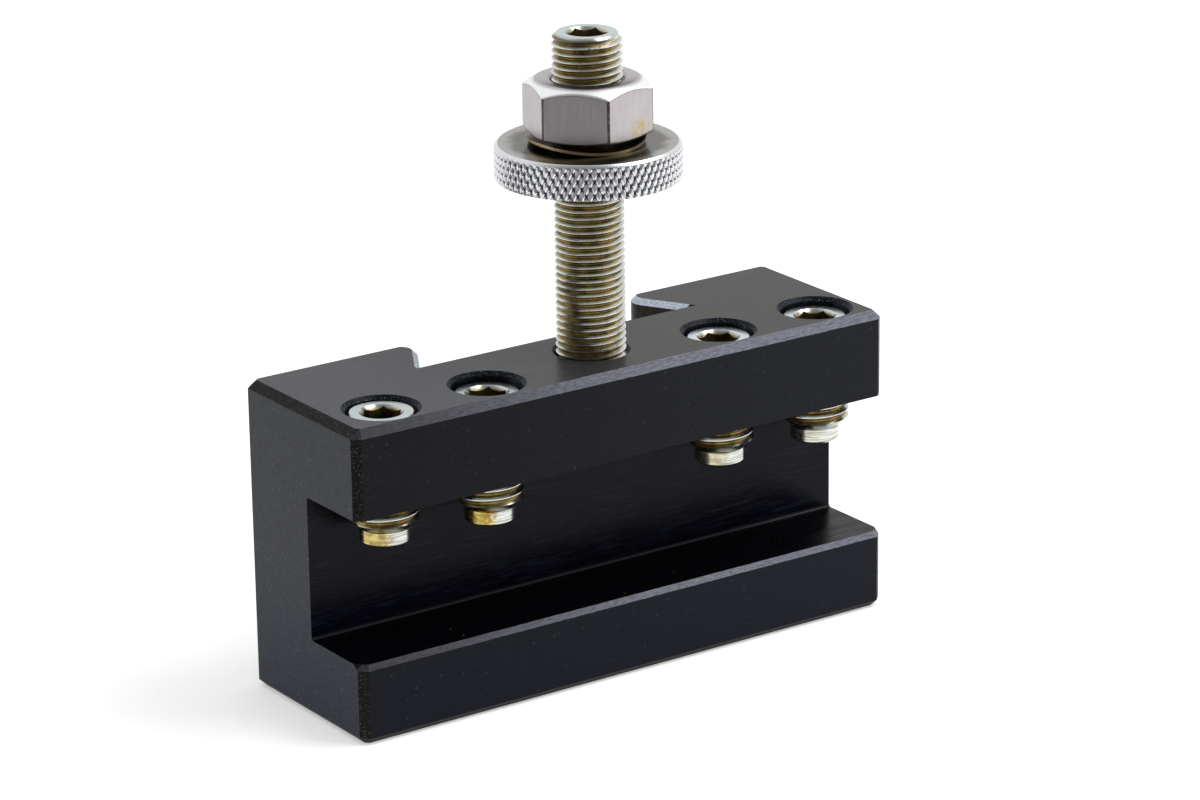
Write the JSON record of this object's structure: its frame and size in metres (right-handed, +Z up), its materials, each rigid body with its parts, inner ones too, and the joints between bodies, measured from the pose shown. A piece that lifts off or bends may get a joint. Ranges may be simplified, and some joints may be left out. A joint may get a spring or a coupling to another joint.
{
  "type": "turning tool holder",
  "caption": "Dovetail-backed steel block with an open tool slot, clamp screws through its upper jaw, and a stud with a knurled height wheel and lock nut.",
  "frame": {"origin": "middle of the block's base", "axes": "+X along the tool slot, +Y towards the dovetail, +Z up along the stud"},
  "size_m": [0.0888, 0.0311, 0.0905],
  "materials": {
    "black_oxide": "black oxide on machined steel, semi-gloss",
    "zinc_plate": "bright zinc plate with tarnish in the thread roots",
    "satin_plate": "satin plate with a knurled rim",
    "dark_spring_steel": "dark blued spring steel with a bright edge",
    "nut_plate": "satin plate"
  },
  "bodies": {
    "holder": {"holder_body": "black_oxide", "height_stud": "zinc_plate"},
    "washer": {"spring_washer": "dark_spring_steel"},
    "wheel": {"height_wheel": "satin_plate"},
    "nut": {"lock_nut": "nut_plate"},
    "screw_1": {"clamp_screw_1": "zinc_plate"},
    "screw_2": {"clamp_screw_2": "zinc_plate"},
    "screw_3": {"clamp_screw_3": "zinc_plate"},
    "screw_4": {"clamp_screw_4": "zinc_plate"}
  },
  "joints": [
    {"name": "washer_travel", "type": "slide", "parent": "holder", "child": "washer", "axis": [0, 0, 1], "range_m": [-0.0241, 0.0051]},
    {"name": "wheel_turn", "type": "hinge", "parent": "washer", "child": "wheel", "pos_m": [0.0009, -0.00385, 0.0726], "axis": [0, 0, 1], "range_deg": [-8640, 1800]},
    {"name": "nut_turn", "type": "hinge", "parent": "washer", "child": "nut", "pos_m": [0.0009, -0.00385, 0.0802], "axis": [0, 0, 1], "range_deg": [-8641, 1801]},
    {"name": "screw_1_travel", "type": "slide", "parent": "holder", "child": "screw_1", "axis": [0, 0, 1], "range_m": [-0.008, 0.006]},
    {"name": "screw_2_travel", "type": "slide", "parent": "holder", "child": "screw_2", "axis": [0, 0, 1], "range_m": [-0.008, 0.006]},
    {"name": "screw_3_travel", "type": "slide", "parent": "holder", "child": "screw_3", "axis": [0, 0, 1], "range_m": [-0.008, 0.006]},
    {"name": "screw_4_travel", "type": "slide", "parent": "holder", "child": "screw_4", "axis": [0, 0, 1], "range_m": [-0.008, 0.006]}
  ],
  "couplings": [
    {"joint": "washer_travel", "follows": "wheel_turn", "m_per_rad": 0.00015915},
    {"joint": "nut_turn", "follows": "wheel_turn", "ratio": 1}
  ]
}
